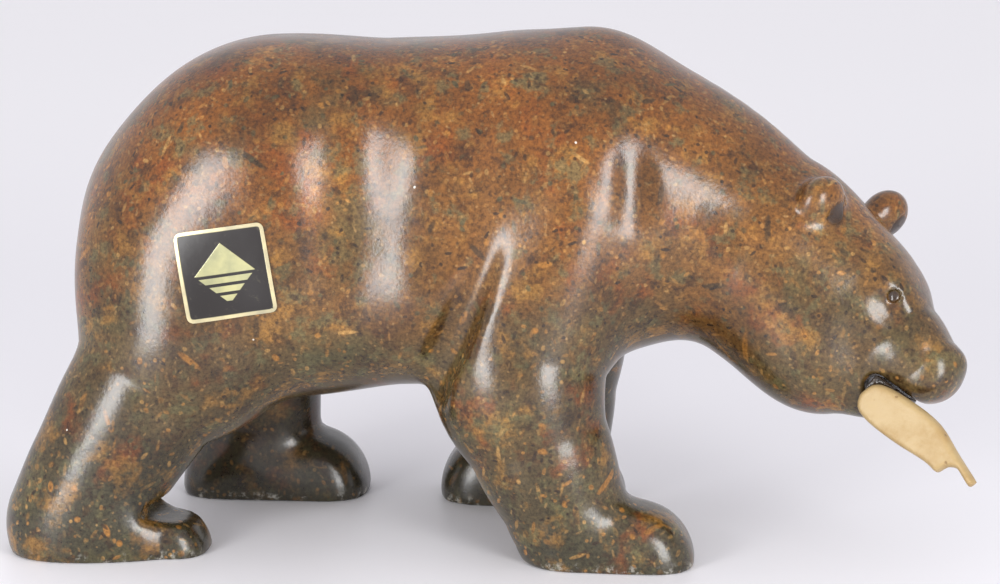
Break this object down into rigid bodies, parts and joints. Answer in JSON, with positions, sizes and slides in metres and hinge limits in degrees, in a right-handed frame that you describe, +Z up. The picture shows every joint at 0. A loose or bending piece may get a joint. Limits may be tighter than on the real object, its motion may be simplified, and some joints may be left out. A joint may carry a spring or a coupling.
{
  "type": "soapstone bear carving",
  "caption": "Small polished soapstone carving of a walking bear with its head lowered and turned to its right, holding a pale fish across its mouth.",
  "frame": {"origin": "on the ground, under the middle of the carving's box", "axes": "+X the way the bear walks, +Y its left side, +Z up"},
  "size_m": [0.2048, 0.0852, 0.1105],
  "materials": {
    "bear_stone": "polished, mottled rust, ochre, olive and brown",
    "fish_stone": "smooth cream with small dark pores",
    "dark_glue": "dark and glossy",
    "brass_foil": "thin foil, brass edge around a black field"
  },
  "bodies": {
    "root": {"bear": "bear_stone", "fish": "fish_stone", "mouth_glue": "dark_glue", "foil_seal": "brass_foil"}
  },
  "joints": []
}
